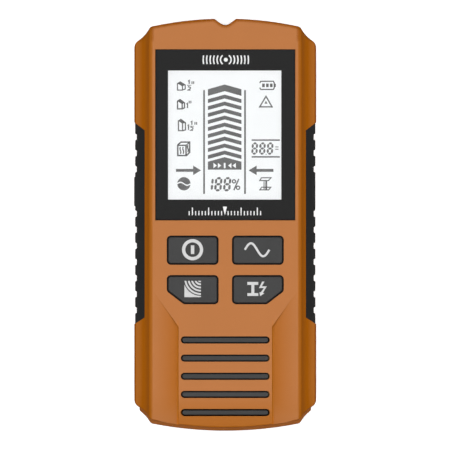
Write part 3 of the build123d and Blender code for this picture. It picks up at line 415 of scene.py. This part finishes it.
finishes = {
    front_plastic: ["front_shell"],
    rear_plastic: ["rear_shell", "battery_door"],
    grip_rubber: ["grip_left", "grip_right", "side_button"],
    bar_rubber: ["grip_bars"],
    key_plastic: ["key_power", "key_ac", "key_scan", "key_metal"],
    stem_plastic: ["stem_power", "stem_ac", "stem_scan", "stem_metal", "side_stem"],
    bracket_plastic: ["lcd_bracket", "coil_bobbin", "battery_connector"],
    chip_epoxy: ["controller_chip", "amplifier_chips", "capacitors", "buzzer", "key_switches", "side_switch",
                 "link_header", "battery_snap"],
    foam_skin: ["battery_foam"],
    felt_skin: ["glide_pads"],
    elastomer_skin: ["elastomer_strip"],
    lead_red_skin: ["lead_red"],
    lead_black_skin: ["lead_black"],
    mask_ink: ["lens_mask"],
    lens_clear: ["display_lens"],
    lcd_glass: ["lcd_front_glass", "lcd_rear_glass"],
    lcd_film: ["lcd_polariser"],
    light_guide: ["lcd_backlight"],
    pcb: ["main_board", "sensor_board"],
    zinc: ["case_screws", "board_screws", "crystal"],
    tinned: ["battery_terminals", "link_pins"],
    copper: ["sensor_plates"],
    coil_copper: ["coil_winding"],
    jacket: ["battery"],
}
for finish, names in finishes.items():
    for name in names:
        mesh = nodes[name].data
        mesh.materials.clear()
        mesh.materials.append(finish)
nodes["display_lens"].visible_shadow = False


# ---------------------------------------------------------------- flat shapes, in millimetres
def stroke(points, width):
    """Outline of a line of even width through points, with mitred corners."""
    left, right = [], []
    for i, (x, y) in enumerate(points):
        before = points[max(i - 1, 0)]
        after = points[min(i + 1, len(points) - 1)]
        a = math.atan2(y - before[1], x - before[0]) if i else math.atan2(after[1] - y, after[0] - x)
        b = math.atan2(after[1] - y, after[0] - x) if i < len(points) - 1 else a
        turn = (b - a + math.pi) % (2 * math.pi) - math.pi
        reach = width / 2 / max(math.cos(turn / 2), 0.35)
        side = a + turn / 2 + math.pi / 2
        left.append((x + reach * math.cos(side), y + reach * math.sin(side)))
        right.append((x - reach * math.cos(side), y - reach * math.sin(side)))
    return left + right[::-1]


def loop(points, width):
    """Ring of even width that follows a closed line: its outer and inner outlines."""
    rims = ([], [])
    count = len(points)
    for i, (x, y) in enumerate(points):
        before, after = points[i - 1], points[(i + 1) % count]
        a = math.atan2(y - before[1], x - before[0])
        b = math.atan2(after[1] - y, after[0] - x)
        turn = (b - a + math.pi) % (2 * math.pi) - math.pi
        reach = width / 2 / max(math.cos(turn / 2), 0.35)
        side = a + turn / 2 - math.pi / 2
        for rim, way in zip(rims, (1, -1)):
            rim.append((x + way * reach * math.cos(side), y + way * reach * math.sin(side)))
    return rims


def arc(x, y, radius, start, end, steps=24):
    """Points on an arc, angles in degrees."""
    turns = [math.radians(start + (end - start) * i / steps) for i in range(steps + 1)]
    return [(x + radius * math.cos(t), y + radius * math.sin(t)) for t in turns]


def circle(x, y, radius, steps=40):
    return arc(x, y, radius, 0, 360, steps)[:-1]


def rect(x0, y0, x1, y1):
    return [(x0, y0), (x1, y0), (x1, y1), (x0, y1)]


def plate(name, shapes, low, high, material, slot, body="housing"):
    """Thin closed piece from outlines; a pair of outlines makes a ring."""
    form = bmesh.new()
    for shape in shapes:
        rims = shape if isinstance(shape, tuple) else (shape,)
        walls = []
        for outline in rims:
            floor, roof = ([form.verts.new((x * MM, y * MM, z)) for x, y in outline] for z in (low, high))
            walls.append((floor, roof))
            for i in range(len(outline)):
                form.faces.new((floor[i - 1], floor[i], roof[i], roof[i - 1]))
        if len(walls) == 1:
            form.faces.new(walls[0][0])
            form.faces.new(walls[0][1])
        else:
            for level in (0, 1):
                outer, inner = walls[0][level], walls[1][level]
                for i in range(len(outer)):
                    form.faces.new((outer[i - 1], outer[i], inner[i], inner[i - 1]))
    bmesh.ops.recalc_face_normals(form, faces=form.faces)
    bmesh.ops.triangulate(form, faces=[f for f in form.faces if len(f.verts) > 4])
    mesh = bpy.data.meshes.new(name)
    form.to_mesh(mesh)
    form.free()
    mesh.materials.append(material)
    piece = bpy.data.objects.new(name, mesh)
    bpy.context.scene.collection.objects.link(piece)
    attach(piece, body)
    return piece


# ---------------------------------------------------------------- symbols on the display
def digit(x, y, width, height, thick, lean, parts="abcdefg"):
    """Seven-segment figure with its lower left corner at x, y."""
    half, gap = thick / 2, thick * 0.16
    mid = height / 2
    rows = {"a": height - half, "g": mid, "d": half}
    columns = {"f": (half, mid, height), "b": (width - half, mid, height),
               "e": (half, 0, mid), "c": (width - half, 0, mid)}
    outlines = []
    for part in parts:
        if part in rows:
            level = rows[part]
            ends = (half + gap, width - half - gap)
            shape = [(ends[0], level), (ends[0] + half, level - half), (ends[1] - half, level - half),
                     (ends[1], level), (ends[1] - half, level + half), (ends[0] + half, level + half)]
        else:
            place, low, high = columns[part]
            low = low + (half if low == 0 else 0) + gap
            high = high - (half if high == height else 0) - gap
            shape = [(place, low), (place + half, low + half), (place + half, high - half),
                     (place, high), (place - half, high - half), (place - half, low + half)]
        outlines.append([(x + px + lean * py, y + py) for px, py in shape])
    return outlines


def chevron(apex, thick, drop, left=-6.53, right=6.08, middle=-0.23):
    """Chevron that points up, with upright ends."""
    return [(left, apex - drop - thick), (middle, apex - thick), (right, apex - drop - thick),
            (right, apex - drop), (middle, apex), (left, apex - drop)]


def stud(left, top, width, low, roof_x, roof_y, corner_x, corner_y, ink):
    """Cut-off timber seen from a corner: outlined faces and a solid sloping top."""
    right = left + width
    lean = corner_y - roof_y
    foot = low + lean * 0.75
    roof = [(left, top), (corner_x, roof_y), (right, corner_y), (roof_x, top + 0.6)]
    shapes = [
        roof,
        loop(roof, ink * 0.4),
        stroke([(left, top), (left, low), (corner_x, low), (right, foot), (right, corner_y)], ink),
        stroke([(corner_x, roof_y), (corner_x, low + ink / 2)], ink),
    ]
    return shapes


def small_two(x, y, width, height, ink):
    """Figure two in a fraction."""
    return [stroke([(x, y + height * 0.82), (x + width * 0.3, y + height), (x + width, y + height * 0.78),
                    (x + width * 0.9, y + height * 0.5), (x, y + ink / 2), (x + width, y + ink / 2)], ink)]


def small_one(x, y, height, ink):
    """Figure one."""
    return [stroke([(x - 0.42, y + height - 0.4), (x, y + height - 0.12), (x, y)], ink)]


def ticks(x, y):
    """Inch marks beside a figure."""
    return [rect(x - 0.5, y - 0.5, x - 0.1, y + 0.5), rect(x + 0.12, y - 0.5, x + 0.52, y + 0.5)]


def arrow(tail, neck, tip, y, half_shaft=0.54, half_head=1.8):
    """Horizontal arrow."""
    return [(tail, y - half_shaft), (neck, y - half_shaft), (neck, y - half_head), (tip, y),
            (neck, y + half_head), (neck, y + half_shaft), (tail, y + half_shaft)]


def wave_points(x, y, half, height, turns=1.0, steps=24):
    """Points on a sine wave centred on x, y."""
    span = [i / steps for i in range(steps + 1)]
    return [(x - half + 2 * half * s, y + height * math.sin(2 * math.pi * turns * s)) for s in span]


symbols = []
# strength scale between its two rails
symbols += [rect(-8.28, 11.7, -7.65, 50.7), rect(7.1, 11.7, 7.75, 50.7)]
symbols += [chevron(52.8, 2.5, 1.78)]
symbols += [chevron(49.0 - 2.63 * i, 1.45, 1.72) for i in range(9)]
symbols += [[(-6.53, 20.8), (6.08, 20.8), (6.08, 23.8), (-0.23, 25.5), (-6.53, 23.8)]]
# depth figures and their timbers
symbols += stud(-17.95, 53.3, 2.9, 50.7, -16.9, 52.2, -16.1, 52.75, 0.42)
symbols += stud(-17.95, 46.7, 2.65, 43.65, -16.97, 45.5, -16.2, 46.05, 0.5)
symbols += stud(-17.6, 39.25, 2.63, 35.45, -16.7, 38.15, -16.05, 38.55, 0.46)
symbols += small_one(-13.55, 53.0, 1.4, 0.46) + [rect(-14.4, 52.38, -12.75, 52.66)]
symbols += small_two(-14.05, 50.5, 1.0, 1.5, 0.4) + ticks(-12.2, 53.5)
symbols += small_one(-14.2, 43.95, 1.9, 0.46) + ticks(-13.25, 46.2)
symbols += small_one(-13.8, 35.75, 1.95, 0.46) + small_one(-12.55, 37.65, 1.4, 0.44)
symbols += [rect(-13.3, 37.0, -11.8, 37.26)]
symbols += small_two(-13.05, 35.4, 0.95, 1.4, 0.38) + ticks(-11.1, 38.2)
# block of wood grain
symbols += [loop(rect(-17.85, 26.1, -14.75, 29.95), 0.56)]
symbols += [stroke([(-17.85, 30.15), (-16.6, 31.15), (-13.4, 31.15), (-13.4, 27.3), (-14.55, 26.1)], 0.56)]
symbols += [stroke([(-14.55, 30.05), (-13.6, 30.95)], 0.44)]
for grain_x, lift in ((-16.85, 0), (-15.8, 0), (-14.05, 0.65)):
    symbols += [stroke([(grain_x + x, 28.05 + lift + y) for y, x in wave_points(0, 0, 1.3, 0.15)], 0.48)]
# arrows, wave disc, strength figure
symbols += [arrow(-18.54, -12.07, -9.13, 20.53), arrow(18.1, 11.8, 8.78, 20.53)]
disc_x, disc_y, disc_r = -15.55, 15.5, 2.5
swell = wave_points(disc_x, disc_y, disc_r, 0.56)
for way in (1, -1):
    edge = [(x, y + way * 0.25) for x, y in swell]
    edge = [p for p in edge if math.hypot(p[0] - disc_x, p[1] - disc_y) < disc_r]
    start = math.degrees(math.atan2(edge[-1][1] - disc_y, edge[-1][0] - disc_x))
    end = math.degrees(math.atan2(edge[0][1] - disc_y, edge[0][0] - disc_x))
    if way > 0:
        end += 360 if end < start else 0
    else:
        end -= 360 if end > start else 0
    symbols += [edge + arc(disc_x, disc_y, disc_r, start, end, 20)]
symbols += digit(-7.35, 12.65, 2.6, 5.35, 0.83, 0.1, "bc")
symbols += digit(-4.25, 12.65, 2.75, 5.35, 0.83, 0.1) + digit(-0.92, 12.65, 2.75, 5.35, 0.83, 0.1)
symbols += [loop(circle(3.28, 16.4, 0.6, 20), 0.46), loop(circle(4.8, 14.0, 0.62, 20), 0.46)]
symbols += [stroke([(3.25, 13.1), (5.08, 17.35)], 0.52)]
# battery gauge
symbols += [stroke([(12.95, 53.3), (13.3, 54.0), (18.1, 54.0), (18.4, 53.35), (18.4, 51.6), (18.1, 50.95),
                    (13.3, 50.95), (12.95, 51.65)], 0.46)]
symbols += [rect(x - 0.5, 51.8, x + 0.5, 53.15) for x in (14.35, 15.82, 17.28)]
symbols += [rect(18.6, 51.85, 19.0, 53.1)]
# level mark
symbols += [loop([(12.95, 44.4), (17.6, 44.4), (15.3, 48.35)], 0.5)]
symbols += [[(15.3, 46.75), (14.75, 45.6), (15.85, 45.6)]]
# distance figure between its rules
symbols += [rect(9.9, 31.63, 20.5, 32.19), rect(9.9, 25.32, 20.5, 25.88)]
for left in (9.72, 12.6, 15.5):
    symbols += digit(left, 26.45, 2.35, 4.6, 0.76, 0.07)
symbols += [rect(15.2, 26.4, 15.5, 26.75)]
symbols += [rect(18.8, 29.2, 20.0, 29.5), rect(18.8, 28.3, 20.0, 28.6)]
# steel beam
symbols += [loop([(12.95, 16.7), (16.25, 16.7), (17.2, 17.75), (13.6, 17.75)], 0.4)]
symbols += [loop([(13.0, 13.2), (16.3, 13.2), (17.1, 14.2), (13.7, 14.2)], 0.4)]
symbols += [rect(14.4, 13.4, 14.75, 16.75), rect(15.05, 13.4, 15.75, 16.75)]

film_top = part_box("lcd_polariser")[1].z
plate("lcd_symbols", symbols, film_top - 0.02 * MM, film_top + 0.03 * MM, symbol_ink, "lcd_ink")

# centre mark of triangles round a bar, knocked out of the lowest block
centre_mark = [rect(-0.55, 21.35, 0.1, 23.35)]
for way in (-1, 1):
    for start in (1.3, 2.95):
        x = -0.23 + way * start
        centre_mark += [[(x, 22.35), (x + way * 1.25, 21.35), (x + way * 1.25, 23.35)]]
plate("lcd_centre_mark", centre_mark, film_top + 0.02 * MM, film_top + 0.05 * MM, lcd_film, "lcd_film")

# ---------------------------------------------------------------- print under the lens
mask_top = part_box("lens_mask")[1].z
wave_x, wave_y = 0.2, 62.1
wave_half_height = 1.62
header = [circle(wave_x, wave_y, 0.75, 28)]
for i in range(6):
    radius = 2.0 + 1.3 * i
    half_angle = math.degrees(math.asin(min(1.0, wave_half_height / radius)))
    for facing in (0, 180):
        ripple = arc(wave_x, wave_y, radius, facing - half_angle, facing + half_angle, 12)
        header += [stroke(ripple, 0.5)]
ruler_x, ruler_y = -0.15, 3.65
tick_pitch = 1.22
footer = []
for i in range(-11, 12):
    if i:
        x = ruler_x + tick_pitch * i
        footer += [rect(x - 0.2, ruler_y, x + 0.2, ruler_y + (2.9 if i % 5 == 0 else 1.6))]
footer += [[(ruler_x - 0.8, 6.9), (ruler_x, ruler_y), (ruler_x + 0.8, 6.9)]]
plate("lens_print", header + footer, mask_top - 0.02 * MM, mask_top + 0.04 * MM, print_ink, "legend_white")

# ---------------------------------------------------------------- legends on the keys
legend_z = (key_top - 0.02 * MM, key_top + 0.02 * MM)
power_ring = (circle(-12.28, -9.27, 3.97, 56), circle(-12.28, -9.27, 2.74, 56))
power = [power_ring, rect(-12.92, -10.9, -11.64, -7.65)]
plate("legend_power", power, *legend_z, legend_ink, "legend_white", "key_power")

alternating = [stroke(wave_points(11.95, -9.3, 4.6, 2.45, 1.0, 40), 0.8)]
plate("legend_ac", alternating, *legend_z, legend_ink, "legend_white", "key_ac")

beam = [[(8.3, -22.5), (8.3, -21.4), (12.4, -21.4), (12.4, -22.5), (10.92, -22.5), (10.92, -25.6),
         (12.4, -25.6), (12.4, -26.65), (8.3, -26.65), (8.3, -25.6), (9.8, -25.6), (9.8, -22.5)]]
bolt = [(13.86, -21.27), (14.71, -21.27), (13.75, -23.05), (15.6, -23.05), (14.13, -25.45), (14.67, -25.65),
        (13.13, -26.74), (12.83, -25.33), (13.44, -25.2), (14.52, -23.67), (12.63, -23.67)]
plate("legend_metal", beam + [bolt], *legend_z, legend_ink, "legend_white", "key_metal")

scan_left, scan_right, scan_low, scan_high = -15.35, -9.15, -27.1, -20.98
ring_y = -20.02
corner_r = 6.62


def ring_start(radius):
    """Angle at which a ring meets the legend's top."""
    return 180 + math.degrees(math.asin((ring_y - scan_high) / radius))


scan = [arc(scan_right, ring_y, 1.5, ring_start(1.5), 270, 20) + [(scan_right, scan_high)]]
for inner, outer in ((1.92, 2.59), (3.13, 3.8), (4.32, 4.99), (5.57, 6.24)):
    scan.append(arc(scan_right, ring_y, outer, ring_start(outer), 270, 20)
                + arc(scan_right, ring_y, inner, 270, ring_start(inner), 20))
corner_start = 180 + math.degrees(math.acos((scan_right - scan_left) / corner_r))
scan.append([(scan_left, scan_low)] + arc(scan_right, ring_y, corner_r, corner_start, 270, 20)
            + [(scan_right, scan_low)])
plate("legend_scan", scan, *legend_z, legend_ink, "legend_white", "key_scan")


# ---------------------------------------------------------------- stage, lights and camera
def floor_finish():
    paper = Surface("floor_paper", Roughness=0.9)
    tone = paper.spread(paper.noise(60.0, 3.0), 0.3, 0.7)
    paper.colour(paper.mix(tone, (0.9, 0.9, 0.9, 1.0), (0.92, 0.92, 0.92, 1.0)))
    paper.shader.inputs["Emission Color"].default_value = (1, 1, 1, 1)
    paper.shader.inputs["Emission Strength"].default_value = 0.55
    return paper.material


bpy.ops.mesh.primitive_plane_add(size=12.0, location=(0, 0, 0))
floor = bpy.context.object
floor.name = "floor"
floor.data.materials.append(floor_finish())
floor.visible_glossy = False
floor.visible_diffuse = False


def softbox(name, place, size, power):
    """Square area light that faces the object."""
    light = bpy.data.lights.new(name, "AREA")
    light.size = size
    light.energy = power
    lamp = bpy.data.objects.new(name, light)
    lamp.location = place
    lamp.rotation_euler = (-lamp.location).to_track_quat("-Z", "Y").to_euler()
    bpy.context.scene.collection.objects.link(lamp)


box_out, box_up, box_size, box_power = 0.8, 1.5, 1.1, 7.7
for name, x, y in (("left", -1, 0), ("right", 1, 0), ("upper", 0, 1), ("lower", 0, -1)):
    softbox("softbox_" + name, (x * box_out, y * box_out, box_up), box_size, box_power)

world = bpy.data.worlds.new("studio")
world.use_nodes = True
tree = world.node_tree
sky = tree.nodes["Background"]
direction = tree.nodes.new("ShaderNodeTexCoord").outputs["Generated"]
height = tree.nodes.new("ShaderNodeSeparateXYZ")
tree.links.new(direction, height.inputs[0])
ramp_node = tree.nodes.new("ShaderNodeValToRGB")
ramp = ramp_node.color_ramp
tree.links.new(height.outputs["Z"], ramp_node.inputs[0])
tree.links.new(ramp_node.outputs[0], sky.inputs["Color"])
for element, place, grey in ((ramp.elements[0], 0.0, 0.34), (ramp.elements[1], 0.97, 0.36)):
    element.position = place
    element.color = (grey, grey, grey, 1)
for place, grey in ((0.02, 0.14), (0.7, 0.22)):
    ramp.elements.new(place).color = (grey, grey, grey, 1)
bpy.context.scene.world = world

# a long lens straight above, whose view is view_width across at the height level_z
focal_mm = 1500
sensor_mm = 36
view_width = 0.1693
level_z = 0.018
camera = bpy.data.objects.new("camera", bpy.data.cameras.new("camera"))
camera.data.lens = focal_mm
camera.data.sensor_width = sensor_mm
camera.location = (-0.0001, 0.0, view_width * focal_mm / sensor_mm + level_z)
bpy.context.scene.collection.objects.link(camera)
bpy.context.scene.camera = camera
bpy.context.scene.view_settings.view_transform = "Standard"
